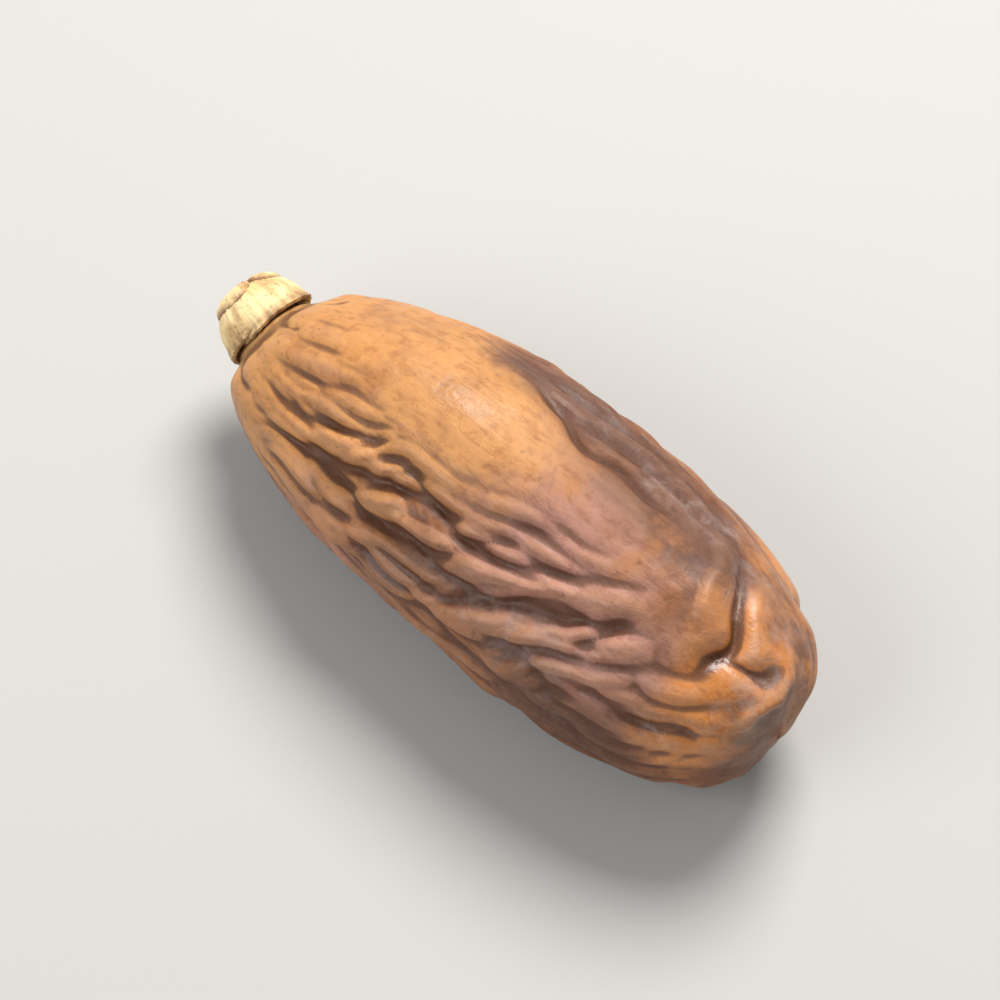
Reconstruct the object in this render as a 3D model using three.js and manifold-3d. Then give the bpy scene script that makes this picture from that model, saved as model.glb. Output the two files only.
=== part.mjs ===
// A dried date, as picked, lying on its side with its dry calyx cap still on.
//
// Millimetres, +Z up. The long axis runs along X, with the calyx at the low end and the blossom tip
// at the high end. The origin is on the resting surface, under the middle of the whole object.
//
// The fruit grew as one piece, so it is one closed skin. Its plain form is a blunt oval solid, and
// the creases, ridges and hollows of the shrunken skin are laid over that form. A place on the skin
// is [along, around]: millimetres from the middle of the fruit, and degrees from the top, which are
// positive towards +Y.

import * as THREE from 'three';
import { mergeVertices } from 'three/addons/utils/BufferGeometryUtils.js';
import Module from 'manifold-3d';

// Driving dimensions of the fruit.
const FRUIT_LENGTH = 44;
const FRUIT_WIDTH = 18.8;
const FRUIT_HEIGHT = 17.6;
const SETTLED = 0.9; // how far the soft underside has flattened where it lies
const SETTLED_BLEND = 0.3; // the rounding between that flat and the flanks
const CALYX_END_BLUNTNESS = 2.8; // 2 is an ellipse, and a higher number is squarer
const TIP_BLUNTNESS = 2.9;
const FULLEST_AT = 0.3; // share of the half length towards the tip
const TAPER = 0.11; // how much the girth falls away from its fullest place
const SIDE_BOW = 0.3; // how far the middle bows towards +Y
const END_SLANT = 0.27; // how steeply the calyx end faces to one side, as a slope
const END_FACES = 35; // the side that it faces, in degrees from the top

// Driving dimensions of the calyx.
// The bell that the petals follow, as [radius, height over the seat], from the scar to the rim.
const BELL = [[0.8, 2.1], [1.55, 1.9], [2.15, 1.25], [2.5, 0.3], [3, -0.85]];
const CALYX_GAP = 0.3; // between the calyx and the fruit that it clasps
const RING_GROOVE = { radius: 3.6, depth: 0.4, width: 0.9 }; // the dip that the petals press into
// Petals and sepals are lobes of the bell, from one share of its length to another. A petal runs over
// the next by the overlap, in degrees, where its covering side rises by the tile, and its rim curls
// away from the fruit. The notch is how much shorter a lobe is at its sides.
const PETALS = {
  count: 3,
  overlap: 13,
  from: 0.1,
  to: 1,
  notch: 0.1,
  thickness: 0.6,
  tile: 0.4,
  curl: 0.08,
  rows: 9,
  columns: 16,
};
const SEPALS = {
  count: 3,
  overlap: -5,
  from: 0,
  to: 0.46,
  notch: 0.35,
  thickness: 0.95,
  tile: 0,
  curl: 0,
  rows: 5,
  columns: 12,
};
// The woody middle under the petals, and the stub over it that left the strand.
const CORE = [[0, 0.1], [2.1, 0.1], [2.6, 0.3], [2.55, 0.7], [2.3, 1.3], [1.75, 1.95], [1.15, 2.2]];
const STUB = [[1.0, 2.5], [1.1, 2.75], [0.6, 2.6], [0, 2.5]];

// How finely the skin is cut into triangles.
const AROUND_STEPS = 74;
const ALONG_STEPS = 66;
const WALK_STEPS = 600; // fine steps along the outline, from which even stations are picked
const STROKE_STEPS = 16; // points along each crease or ridge
const CORE_STEPS = 24; // sides of the calyx's round middle

// Broad lobes that the flesh shrank into: how many go round, their height, the angle at which they
// start, and how far they twist from end to end, in degrees.
const LOBES = [
  { count: 3, height: 0.28, start: 6, twist: 50 },
  { count: 5, height: 0.16, start: -5, twist: -75 },
];

// Creases are valleys with slightly puffed lips, and ridges are rounded crests.
const LIP_HEIGHT = 0.3;
const CREASES = [
  { name: 'long flank crease', path: [[-15, -54], [-8, -61], [0, -60]], depth: 0.8, width: 1.0 },
  { name: 'upper flank crease', path: [[-9, -36], [-2, -41], [5, -43]], depth: 0.5, width: 1.0 },
  { name: 'first slanting fold', path: [[0, -47], [2.5, -36], [5, -25]], depth: 0.4, width: 0.9 },
  { name: 'second slanting fold', path: [[5, -58], [8, -47], [10.5, -37]], depth: 0.5, width: 0.9 },
  { name: 'third slanting fold', path: [[9.5, -50], [12, -36], [14, -20]], depth: 0.5, width: 0.9 },
  { name: 'crease under the bloom', path: [[-4, 29], [4, 19], [12.5, 18]], depth: 0.55, width: 0.9 },
  { name: 'tip fold', path: [[14.4, 48], [16.4, 18], [17.6, -10], [17.2, -36]], depth: 0.9, width: 1.1 },
  { name: 'tip cleft', path: [[17.8, -14], [19.6, -2], [21.2, 14]], depth: 0.6, width: 0.9 },
  { name: 'lower tip fold', path: [[13.5, -72], [17.5, -58], [20.3, -66]], depth: 0.55, width: 0.9 },
  { name: 'long back crease', path: [[-16, 66], [-7, 77], [3, 73], [13, 84]], depth: 0.75, width: 1.0 },
  { name: 'forked back crease', path: [[3, 76], [7, 93], [13, 101]], depth: 0.55, width: 0.9 },
  { name: 'low back crease', path: [[-13, 112], [-5, 106], [4, 116]], depth: 0.6, width: 1.0 },
  { name: 'near low crease', path: [[-14, -100], [-4, -107], [6, -101]], depth: 0.65, width: 1.0 },
  { name: 'near low fork', path: [[3, -103], [9, -92], [15, -98]], depth: 0.55, width: 0.9 },
  { name: 'first belly crease', path: [[-17, 150], [-12, 160], [-8, 148]], depth: 0.5, width: 0.9 },
  { name: 'second belly crease', path: [[-15, -128], [-5, -135], [12, -136]], depth: 0.6, width: 1.0 },
  { name: 'third belly crease', path: [[9, 134], [14, 146], [18, 140]], depth: 0.55, width: 0.9 },
  { name: 'far tip fold', path: [[16.8, 62], [18.4, 88], [17.8, 118]], depth: 0.6, width: 0.9 },
  { name: 'under tip fold', path: [[17.5, -165], [18.6, -140], [18.2, -112]], depth: 0.55, width: 0.9 },
];
const RIDGES = [
  { name: 'flank rim', path: [[-15, -76], [-6, -79], [4, -77]], height: 0.4, width: 1.1 },
  { name: 'brow before the tip', path: [[12.8, 40], [14.4, 12], [15, -12]], height: 0.35, width: 1.1 },
  { name: 'tip rim', path: [[19.4, 46], [21, 12], [21.2, -30], [20, -52]], height: 0.45, width: 1.0 },
  { name: 'back rim', path: [[-12, 90], [-2, 92], [8, 112]], height: 0.3, width: 1.1 },
];

// Oval swells and hollows: the middle, the half sizes along and around the skin in millimetres, and
// how far the skin rises or, where negative, sinks there.
const SWELLS = [
  { name: 'shoulder panel', middle: [-9, -10], half: [11, 6.5], rise: 0.45 },
  { name: 'bloomed flank', middle: [6, 36], half: [10, 4.5], rise: -0.45 },
  { name: 'tip pan', middle: [18.6, -4], half: [3.4, 6], rise: -0.5 },
  { name: 'middle dip', middle: [7, -30], half: [7, 4.5], rise: -0.3 },
  { name: 'back panel', middle: [-5, 90], half: [9, 4], rise: -0.35 },
  { name: 'near low panel', middle: [-3, -118], half: [10, 3.5], rise: -0.3 },
  { name: 'blossom point', middle: [22, 0], half: [1.1, 1.1], rise: 0.3 },
];

// Long shallow folds that the shrunken flanks are gathered into: the angles between which they lie,
// how many there are, and how deep. Each is shorter or longer, and sits further forward or back, than
// the one beside it, by shares that step round so that no two line up.
const GATHERS = [
  { name: 'near flank gathers', angles: [-150, -46], count: 11, depth: 0.46 },
  { name: 'back flank gathers', angles: [50, 150], count: 11, depth: 0.42 },
];
const GATHER_RUN = { from: -16, to: 14, shortest: 9, longest: 16, sway: 4, width: 0.85 };
const PLACE_STEP = 0.618;
const LENGTH_STEP = 0.755;

// Short creases that radiate from the calyx over the shoulder.
const PUCKERS = { count: 9, from: -21.2, to: -17.8, lean: 9, start: 14, depth: 0.28, width: 0.8 };

const HALF_LENGTH = FRUIT_LENGTH / 2;
const HALF_WIDTH = FRUIT_WIDTH / 2;
const HALF_HEIGHT = (FRUIT_HEIGHT + SETTLED) / 2;
const AXIS_HEIGHT = FRUIT_HEIGHT - HALF_HEIGHT;

const radians = THREE.MathUtils.degToRad;

// The girth at a station, as a share of the full girth.
function girth(along) {
  const share = THREE.MathUtils.clamp(along / HALF_LENGTH, -1, 1);
  const power = share < 0 ? CALYX_END_BLUNTNESS : TIP_BLUNTNESS;
  const blunt = (1 - Math.abs(share) ** power) ** (1 / power);
  return blunt * (1 - TAPER * (share - FULLEST_AT) ** 2);
}

// A place on the plain form, before any crease.
function plainPlace(along, around) {
  const share = along / HALF_LENGTH;
  const turn = radians(around);
  const bow = SIDE_BOW * (1 - (share - FULLEST_AT) ** 2);
  const wide = HALF_WIDTH * girth(along) * Math.sin(turn);
  const high = HALF_HEIGHT * girth(along) * Math.cos(turn);
  const facing = wide * Math.sin(radians(END_FACES)) + high * Math.cos(radians(END_FACES));
  const slant = END_SLANT * facing * THREE.MathUtils.smoothstep(-share, 0, 1);
  return new THREE.Vector3(along + slant, bow + wide, AXIS_HEIGHT + high);
}

// The outward direction of the plain form there.
function outward(along, around) {
  const share = along / HALF_LENGTH;
  const power = share < 0 ? CALYX_END_BLUNTNESS : TIP_BLUNTNESS;
  const turn = radians(around);
  const endways = Math.sign(share) * Math.abs(share) ** (power - 1);
  const sideways = girth(along) ** (power - 1);
  return new THREE.Vector3(
    endways / HALF_LENGTH,
    sideways * Math.sin(turn) / HALF_WIDTH,
    sideways * Math.cos(turn) / HALF_HEIGHT,
  ).normalize();
}

// Stations along the fruit that lie evenly along its outline, from pole to pole.
function stations(count) {
  const walk = [];
  let travelled = 0;
  let last = null;
  for (let i = 0; i <= WALK_STEPS; i += 1) {
    const along = -HALF_LENGTH * Math.cos(Math.PI * i / WALK_STEPS);
    const point = new THREE.Vector2(along, HALF_WIDTH * girth(along));
    travelled += last ? point.distanceTo(last) : 0;
    walk.push({ along, travelled });
    last = point;
  }
  const picked = [];
  for (let i = 0; i <= count; i += 1) {
    const wanted = travelled * i / count;
    const next = Math.max(1, walk.findIndex((step) => step.travelled >= wanted - 1e-9));
    const [a, b] = [walk[next - 1], walk[next]];
    const share = (wanted - a.travelled) / (b.travelled - a.travelled);
    picked.push(THREE.MathUtils.lerp(a.along, b.along, share));
  }
  return picked;
}

// A stroke's line on the plain form, and how near a point comes to it.
function strokeLine(path) {
  const knots = path.map(([along, around]) => plainPlace(along, around));
  return new THREE.CatmullRomCurve3(knots, false, 'catmullrom').getPoints(STROKE_STEPS);
}

function nearest(line, point) {
  const foot = new THREE.Vector3();
  let best = { distance: Infinity, share: 0 };
  for (let i = 0; i + 1 < line.length; i += 1) {
    const piece = new THREE.Line3(line[i], line[i + 1]);
    const t = piece.closestPointToPointParameter(point, true);
    const distance = piece.at(t, foot).distanceTo(point);
    if (distance < best.distance) {
      best = { distance, share: (i + t) / (line.length - 1) };
    }
  }
  return best;
}

// Strokes fade out over the first and last third of their length.
function fade(share) {
  return THREE.MathUtils.smoothstep(Math.min(share, 1 - share), 0, 1 / 3);
}

function puckers() {
  const made = [];
  const middle = (PUCKERS.from + PUCKERS.to) / 2;
  for (let i = 0; i < PUCKERS.count; i += 1) {
    const around = PUCKERS.start + 360 * i / PUCKERS.count + PUCKERS.lean * Math.sin(5 * i);
    const path = [
      [PUCKERS.from, around],
      [middle, around + PUCKERS.lean * Math.cos(3 * i)],
      [PUCKERS.to, around + PUCKERS.lean],
    ];
    made.push({ path, depth: PUCKERS.depth, width: PUCKERS.width });
  }
  return made;
}

function gathers() {
  const { lerp } = THREE.MathUtils;
  const { from, to, shortest, longest, sway, width } = GATHER_RUN;
  const made = [];
  for (const { angles, count, depth } of GATHERS) {
    for (let i = 0; i < count; i += 1) {
      const half = lerp(shortest, longest, (i * LENGTH_STEP) % 1) / 2;
      const middle = lerp(from + half, to - half, (i * PLACE_STEP) % 1);
      const around = lerp(angles[0], angles[1], (i + 0.5) / count);
      const path = [
        [middle - half, around + sway * Math.sin(3 * i)],
        [middle, around],
        [middle + half, around + sway * Math.cos(2 * i)],
      ];
      made.push({ path, depth, width });
    }
  }
  return made;
}

function withLine(stroke) {
  return { ...stroke, line: strokeLine(stroke.path) };
}

const creaseLines = [...CREASES, ...gathers(), ...puckers()].map(withLine);
const ridgeLines = RIDGES.map(withLine);

function creaseRelief(point) {
  let rise = 0;
  for (const { line, depth, width } of creaseLines) {
    const { distance, share } = nearest(line, point);
    const across = (distance / width) ** 2;
    const valley = Math.exp(-across);
    const lips = LIP_HEIGHT * across * Math.exp(-across / 2);
    rise += depth * fade(share) * (lips - valley);
  }
  return rise;
}

function ridgeRelief(point) {
  let rise = 0;
  for (const { line, height, width } of ridgeLines) {
    const { distance, share } = nearest(line, point);
    rise += height * fade(share) * Math.exp(-((distance / width) ** 2));
  }
  return rise;
}

function swellRelief(point) {
  let relief = 0;
  for (const { middle, half, rise } of SWELLS) {
    const offset = point.clone().sub(plainPlace(...middle));
    const across = Math.hypot(offset.y, offset.z);
    const reach = (offset.x / half[0]) ** 2 + (across / half[1]) ** 2;
    relief += reach < 1 ? rise * (1 - reach) ** 2 : 0;
  }
  return relief;
}

function lobeRelief(along, around) {
  const share = along / HALF_LENGTH;
  let rise = 0;
  for (const { count, height, start, twist } of LOBES) {
    rise += height * girth(along) * Math.cos(radians(count * (around - start) + twist * share));
  }
  return rise;
}

// The dip round the calyx, which the petals press into.
function seatRelief(along, point) {
  if (along > 0) {
    return 0;
  }
  const seat = plainPlace(-HALF_LENGTH, 0);
  const radius = Math.hypot(point.y - seat.y, point.z - seat.z);
  return -RING_GROOVE.depth * Math.exp(-(((radius - RING_GROOVE.radius) / RING_GROOVE.width) ** 2));
}

// The weight of the fruit presses its underside flat.
function settle(height) {
  const blend = Math.max(SETTLED_BLEND - Math.abs(height), 0) / SETTLED_BLEND;
  return Math.max(height, 0) + blend ** 2 * SETTLED_BLEND / 4;
}

function skinPlace(along, around) {
  const plain = plainPlace(along, around);
  const rise = creaseRelief(plain) + ridgeRelief(plain) + swellRelief(plain)
    + lobeRelief(along, around) + seatRelief(along, plain);
  const place = plain.addScaledVector(outward(along, around), rise);
  place.z = settle(place.z);
  return place;
}

// A closed skin over a grid of rings between two poles. Each four-sided patch is cut along its
// shorter diagonal, so that creases stay crisp.
function ringSurface(poleLow, rings, poleHigh) {
  const points = [poleLow, ...rings.flat(), poleHigh];
  const steps = rings[0].length;
  const at = (ring, step) => 1 + ring * steps + (step % steps);
  const faces = [];
  for (let step = 0; step < steps; step += 1) {
    faces.push(0, at(0, step), at(0, step + 1));
    faces.push(points.length - 1, at(rings.length - 1, step + 1), at(rings.length - 1, step));
  }
  for (let ring = 0; ring + 1 < rings.length; ring += 1) {
    for (let step = 0; step < steps; step += 1) {
      const [a, b] = [at(ring, step), at(ring, step + 1)];
      const [c, d] = [at(ring + 1, step + 1), at(ring + 1, step)];
      const firstCut = points[a].distanceTo(points[c]) <= points[b].distanceTo(points[d]);
      faces.push(...(firstCut ? [a, c, b, a, d, c] : [a, d, b, b, d, c]));
    }
  }
  const geometry = new THREE.BufferGeometry().setFromPoints(points);
  geometry.setIndex(faces);
  return geometry;
}

function fruitGeometry() {
  const rows = stations(ALONG_STEPS);
  const rings = rows.slice(1, -1).map((along) => {
    const ring = [];
    for (let step = 0; step < AROUND_STEPS; step += 1) {
      ring.push(skinPlace(along, 360 * step / AROUND_STEPS));
    }
    return ring;
  });
  return ringSurface(skinPlace(rows[0], 0), rings, skinPlace(rows[ALONG_STEPS], 0));
}

// Solids for joining. Every solid is a closed mesh whose shared corners are merged.
const wasm = await Module();
wasm.setup();

function toSolid(geometry) {
  const bare = geometry.clone();
  bare.deleteAttribute('normal');
  bare.deleteAttribute('uv');
  const merged = mergeVertices(bare);
  const vertProperties = new Float32Array(merged.attributes.position.array);
  const triVerts = new Uint32Array(merged.index.array);
  return new wasm.Manifold(new wasm.Mesh({ numProp: 3, vertProperties, triVerts }));
}

function toGeometry(solid) {
  const mesh = solid.getMesh();
  const geometry = new THREE.BufferGeometry();
  geometry.setAttribute('position', new THREE.BufferAttribute(mesh.vertProperties, 3));
  geometry.setIndex(new THREE.BufferAttribute(mesh.triVerts, 1));
  return geometry;
}

// The calyx is shaped round its own axis, with its seat at zero height and its scar at the top. It is
// turned onto the fruit afterwards.
const bell = new THREE.SplineCurve(BELL.map(([radius, height]) => new THREE.Vector2(radius, height)));

// A lobe is a bent plate over the bell: one sheet of points inside, one outside, and a rim. Its sides
// are shorter than its middle by the notch, and one side rises by the tile. The sheet inside leaves
// the bell only near the rim, so that nothing hollow is closed in.
function lobeSolid({ middle, spread, from, to, notch, thickness, tile, curl, rows, columns }) {
  const inner = [];
  const outer = [];
  for (let row = 0; row <= rows; row += 1) {
    for (let column = 0; column <= columns; column += 1) {
      const side = 2 * column / columns - 1;
      const down = row / rows;
      const share = from + (to - from) * down * (1 - notch * Math.abs(side) ** 3);
      const base = bell.getPoint(share);
      const run = bell.getTangent(share);
      const turn = radians(middle + spread * side);
      const tiled = tile * (side + 1) / 2;
      const rim = Math.max(0, 3 * down - 2);
      const under = curl * rim ** 2 + tiled * rim;
      const over = curl * rim ** 2 + tiled * down + thickness;
      for (const [sheet, out] of [[inner, under], [outer, over]]) {
        const radius = base.x - run.y * out;
        const height = base.y + run.x * out;
        sheet.push(new THREE.Vector3(radius * Math.cos(turn), radius * Math.sin(turn), height));
      }
    }
  }
  const points = [...inner, ...outer];
  const across = columns + 1;
  const half = inner.length;
  const faces = [];
  for (let row = 0; row < rows; row += 1) {
    for (let column = 0; column < columns; column += 1) {
      const a = row * across + column;
      const [b, c, d] = [a + 1, a + across + 1, a + across];
      faces.push(a, b, c, a, c, d);
      faces.push(half + a, half + c, half + b, half + a, half + d, half + c);
    }
  }
  // The way round the rim is the first row, the last column, and back.
  const edge = [];
  for (let column = 0; column < columns; column += 1) {
    edge.push(column);
  }
  for (let row = 0; row < rows; row += 1) {
    edge.push(row * across + columns);
  }
  for (let column = columns; column > 0; column -= 1) {
    edge.push(rows * across + column);
  }
  for (let row = rows; row > 0; row -= 1) {
    edge.push(row * across);
  }
  for (let i = 0; i < edge.length; i += 1) {
    const [p, q] = [edge[i], edge[(i + 1) % edge.length]];
    faces.push(p, half + q, q, p, half + p, half + q);
  }
  const geometry = new THREE.BufferGeometry().setFromPoints(points);
  geometry.setIndex(faces);
  return toSolid(geometry);
}

function coreSolid() {
  const outline = [...CORE, ...STUB].map(([radius, height]) => new THREE.Vector2(radius, height));
  const lathe = new THREE.LatheGeometry(outline, CORE_STEPS);
  lathe.rotateX(Math.PI / 2);
  return toSolid(lathe);
}

// The petals cover the core, and the sepals lie over the seams between the petals.
function calyxGeometry() {
  let solid = coreSolid();
  for (const [lobes, shift] of [[PETALS, 0], [SEPALS, 0.5]]) {
    for (let i = 0; i < lobes.count; i += 1) {
      const middle = 360 * (i + shift) / lobes.count;
      const spread = 180 / lobes.count + lobes.overlap;
      solid = solid.add(lobeSolid({ ...lobes, middle, spread }));
    }
  }
  return toGeometry(solid);
}

const fruit = new THREE.Mesh(
  fruitGeometry(),
  new THREE.MeshStandardMaterial({ color: 0x8a4a26, roughness: 0.45, metalness: 0 }),
);
fruit.name = 'date_fruit';

const calyx = new THREE.Mesh(
  calyxGeometry(),
  new THREE.MeshStandardMaterial({ color: 0xd9b27a, roughness: 0.8, metalness: 0 }),
);
calyx.name = 'calyx_cap';
const endways = new THREE.Vector3(
  -1,
  END_SLANT * Math.sin(radians(END_FACES)),
  END_SLANT * Math.cos(radians(END_FACES)),
).normalize();
calyx.quaternion.setFromUnitVectors(new THREE.Vector3(0, 0, 1), endways);
calyx.position.copy(plainPlace(-HALF_LENGTH, 0));
calyx.position.addScaledVector(endways, CALYX_GAP);

const date = new THREE.Group();
date.add(fruit, calyx);
date.updateMatrixWorld(true);
const box = new THREE.Box3().setFromObject(date, true);
const middle = box.getCenter(new THREE.Vector3());
date.position.set(-middle.x, -middle.y, -box.min.z);

export default date;
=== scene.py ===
"""A dried date, as picked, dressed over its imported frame: the wrinkled fruit and its dry calyx.

The fruit's form follows the same driving dimensions, creases, ridges and swells as the solid under
it, cut much finer, with the loose skin's small wrinkles laid over it. Shapes are worked out in
millimetres in the fruit's own frame and turned into metres when a mesh is made. A place on the skin
is (along, around): millimetres from the middle of the fruit, and degrees from the top, positive
towards +Y.
"""

import math

import bpy
import numpy as np
from mathutils import Matrix, Vector
from mathutils.bvhtree import BVHTree


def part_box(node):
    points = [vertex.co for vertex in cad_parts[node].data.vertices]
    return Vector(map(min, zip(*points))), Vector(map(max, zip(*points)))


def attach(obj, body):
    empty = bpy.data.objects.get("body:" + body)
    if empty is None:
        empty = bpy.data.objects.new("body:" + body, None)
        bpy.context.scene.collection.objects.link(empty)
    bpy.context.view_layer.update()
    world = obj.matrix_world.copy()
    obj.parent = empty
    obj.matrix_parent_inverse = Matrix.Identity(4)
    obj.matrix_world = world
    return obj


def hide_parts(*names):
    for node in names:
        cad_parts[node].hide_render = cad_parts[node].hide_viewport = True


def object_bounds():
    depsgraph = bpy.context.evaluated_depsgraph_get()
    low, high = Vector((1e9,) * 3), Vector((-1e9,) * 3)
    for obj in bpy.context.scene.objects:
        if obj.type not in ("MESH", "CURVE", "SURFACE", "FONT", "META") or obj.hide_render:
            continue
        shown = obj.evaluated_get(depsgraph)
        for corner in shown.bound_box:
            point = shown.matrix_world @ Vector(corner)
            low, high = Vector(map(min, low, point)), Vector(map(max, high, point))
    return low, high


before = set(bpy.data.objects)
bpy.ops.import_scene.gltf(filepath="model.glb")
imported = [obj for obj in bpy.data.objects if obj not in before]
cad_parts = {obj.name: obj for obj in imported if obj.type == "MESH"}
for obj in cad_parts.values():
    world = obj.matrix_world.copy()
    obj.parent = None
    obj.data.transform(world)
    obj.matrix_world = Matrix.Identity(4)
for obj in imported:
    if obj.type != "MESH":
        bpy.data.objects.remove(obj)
cad_low, cad_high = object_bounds()

MM = 0.001

# Driving dimensions of the fruit, in millimetres.
FRUIT_LENGTH = 44.0
FRUIT_WIDTH = 18.8
FRUIT_HEIGHT = 17.6
SETTLED = 0.9
SETTLED_BLEND = 0.3
CALYX_END_BLUNTNESS = 2.8
TIP_BLUNTNESS = 2.9
FULLEST_AT = 0.3
TAPER = 0.11
SIDE_BOW = 0.3
END_SLANT = 0.27
END_FACES = math.radians(35)
RING_GROOVE_RADIUS = 3.6
RING_GROOVE_DEPTH = 0.4
RING_GROOVE_WIDTH = 0.9
HALF_LENGTH = FRUIT_LENGTH / 2
HALF_WIDTH = FRUIT_WIDTH / 2
HALF_HEIGHT = (FRUIT_HEIGHT + SETTLED) / 2
AXIS_HEIGHT = FRUIT_HEIGHT - HALF_HEIGHT

# How finely the skin is cut.
AROUND_STEPS = 424
ALONG_STEPS = 228
WALK_STEPS = 4000
STROKE_STEPS = 16

# Broad lobes of the shrunken flesh: how many go round, height, start and twist in degrees.
LOBES = [(3, 0.28, 6, 50), (5, 0.16, -5, -75)]

# Creases: the places a crease runs through, its depth and its width.
CREASES = {
    "long flank": ([(-15, -54), (-8, -61), (0, -60)], 0.8, 1.0),
    "upper flank": ([(-9, -36), (-2, -41), (5, -43)], 0.5, 1.0),
    "first slanting": ([(0, -47), (2.5, -36), (5, -25)], 0.4, 0.9),
    "second slanting": ([(5, -58), (8, -47), (10.5, -37)], 0.5, 0.9),
    "third slanting": ([(9.5, -50), (12, -36), (14, -20)], 0.5, 0.9),
    "under the bloom": ([(-4, 29), (4, 19), (12.5, 18)], 0.55, 0.9),
    "tip fold": ([(14.4, 48), (16.4, 18), (17.6, -10), (17.2, -36)], 0.9, 1.1),
    "tip cleft": ([(17.8, -14), (19.6, -2), (21.2, 14)], 0.6, 0.9),
    "lower tip": ([(13.5, -72), (17.5, -58), (20.3, -66)], 0.55, 0.9),
    "long back": ([(-16, 66), (-7, 77), (3, 73), (13, 84)], 0.75, 1.0),
    "forked back": ([(3, 76), (7, 93), (13, 101)], 0.55, 0.9),
    "low back": ([(-13, 112), (-5, 106), (4, 116)], 0.6, 1.0),
    "near low": ([(-14, -100), (-4, -107), (6, -101)], 0.65, 1.0),
    "near low fork": ([(3, -103), (9, -92), (15, -98)], 0.55, 0.9),
    "first belly": ([(-17, 150), (-12, 160), (-8, 148)], 0.5, 0.9),
    "second belly": ([(-15, -128), (-5, -135), (12, -136)], 0.6, 1.0),
    "third belly": ([(9, 134), (14, 146), (18, 140)], 0.55, 0.9),
    "far tip": ([(16.8, 62), (18.4, 88), (17.8, 118)], 0.6, 0.9),
    "under tip": ([(17.5, -165), (18.6, -140), (18.2, -112)], 0.55, 0.9),
}
LIP_HEIGHT = 0.3
BOTTOM_SHARE = 0.5  # of a crease's depth that lies in its narrow bottom
BOTTOM_WIDTH = 0.36  # of the crease's width
TOP_SHARE = 0.4  # of a ridge's height that lies in its narrow top
TOP_WIDTH = 0.45  # of the ridge's width
FADED_ENDS = 1 / 3  # of a stroke's length, at each end
STROKE_REACH = 4  # widths, past which a stroke isn't felt
FARTHEST = 8  # widths, in place of the endless distance of points out of reach
RIDGES = {
    "flank rim": ([(-15, -76), (-6, -79), (4, -77)], 0.4, 1.1),
    "brow before the tip": ([(12.8, 40), (14.4, 12), (15, -12)], 0.35, 1.1),
    "tip rim": ([(19.4, 46), (21, 12), (21.2, -30), (20, -52)], 0.45, 1.0),
    "back rim": ([(-12, 90), (-2, 92), (8, 112)], 0.3, 1.1),
}
# Swells and, where negative, hollows: the middle, the half sizes along and around, and the rise.
SWELLS = {
    "shoulder panel": ((-9, -10), (11, 6.5), 0.45),
    "bloomed flank": ((6, 36), (10, 4.5), -0.45),
    "tip pan": ((18.6, -4), (3.4, 6), -0.5),
    "middle dip": ((7, -30), (7, 4.5), -0.3),
    "back panel": ((-5, 90), (9, 4), -0.35),
    "near low panel": ((-3, -118), (10, 3.5), -0.3),
    "blossom point": ((22, 0), (1.1, 1.1), 0.3),
}
# Long shallow folds of the flanks: the angles between which they lie, how many and how deep.
GATHERS = [((-150, -46), 11, 0.46), ((50, 150), 11, 0.42)]
GATHERS_FROM, GATHERS_TO = -16, 14
SHORTEST_GATHER, LONGEST_GATHER = 9, 16
GATHER_SWAY, GATHER_WIDTH = 4, 0.85
PLACE_STEP, LENGTH_STEP = 0.618, 0.755  # shares that step round, so that no two folds line up
PUCKER_COUNT = 9
PUCKER_FROM, PUCKER_TO = -21.2, -17.8
PUCKER_START, PUCKER_LEAN = 14, 9
PUCKER_DEPTH, PUCKER_WIDTH = 0.28, 0.8


def smooth(value, low, high):
    """0 below low, 1 above high and a smooth step between."""
    share = np.clip((value - low) / (high - low), 0, 1)
    return share * share * (3 - 2 * share)


def end_power(along):
    return np.where(along < 0, CALYX_END_BLUNTNESS, TIP_BLUNTNESS)


def girth(along):
    share = np.clip(along / HALF_LENGTH, -1, 1)
    power = end_power(along)
    blunt = (1 - np.abs(share) ** power) ** (1 / power)
    return blunt * (1 - TAPER * (share - FULLEST_AT) ** 2)


def plain_place(along, around):
    """Points on the plain form, before any crease."""
    along, turn = np.broadcast_arrays(np.asarray(along, float), np.radians(around))
    bow = SIDE_BOW * (1 - (along / HALF_LENGTH - FULLEST_AT) ** 2)
    wide = HALF_WIDTH * girth(along) * np.sin(turn)
    high = HALF_HEIGHT * girth(along) * np.cos(turn)
    facing = wide * math.sin(END_FACES) + high * math.cos(END_FACES)
    slant = END_SLANT * facing * smooth(-along / HALF_LENGTH, 0, 1)
    return np.stack([along + slant, bow + wide, AXIS_HEIGHT + high], axis=-1)


def outward(along, around):
    """Outward directions of the plain form."""
    along, turn = np.broadcast_arrays(np.asarray(along, float), np.radians(around))
    share = along / HALF_LENGTH
    power = end_power(along)
    endways = np.sign(share) * np.abs(share) ** (power - 1) / HALF_LENGTH
    sideways = girth(along) ** (power - 1)
    way = np.stack(
        [endways, sideways * np.sin(turn) / HALF_WIDTH, sideways * np.cos(turn) / HALF_HEIGHT],
        axis=-1,
    )
    return way / np.linalg.norm(way, axis=-1, keepdims=True)


def stations(count):
    """Stations that lie evenly along the fruit's outline, and how far along it each one is."""
    walk = -HALF_LENGTH * np.cos(np.pi * np.arange(WALK_STEPS + 1) / WALK_STEPS)
    steps = np.hypot(np.diff(walk), np.diff(HALF_WIDTH * girth(walk)))
    travelled = np.concatenate([[0], np.cumsum(steps)])
    wanted = np.linspace(0, travelled[-1], count + 1)
    return np.interp(wanted, travelled, walk), wanted


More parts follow.
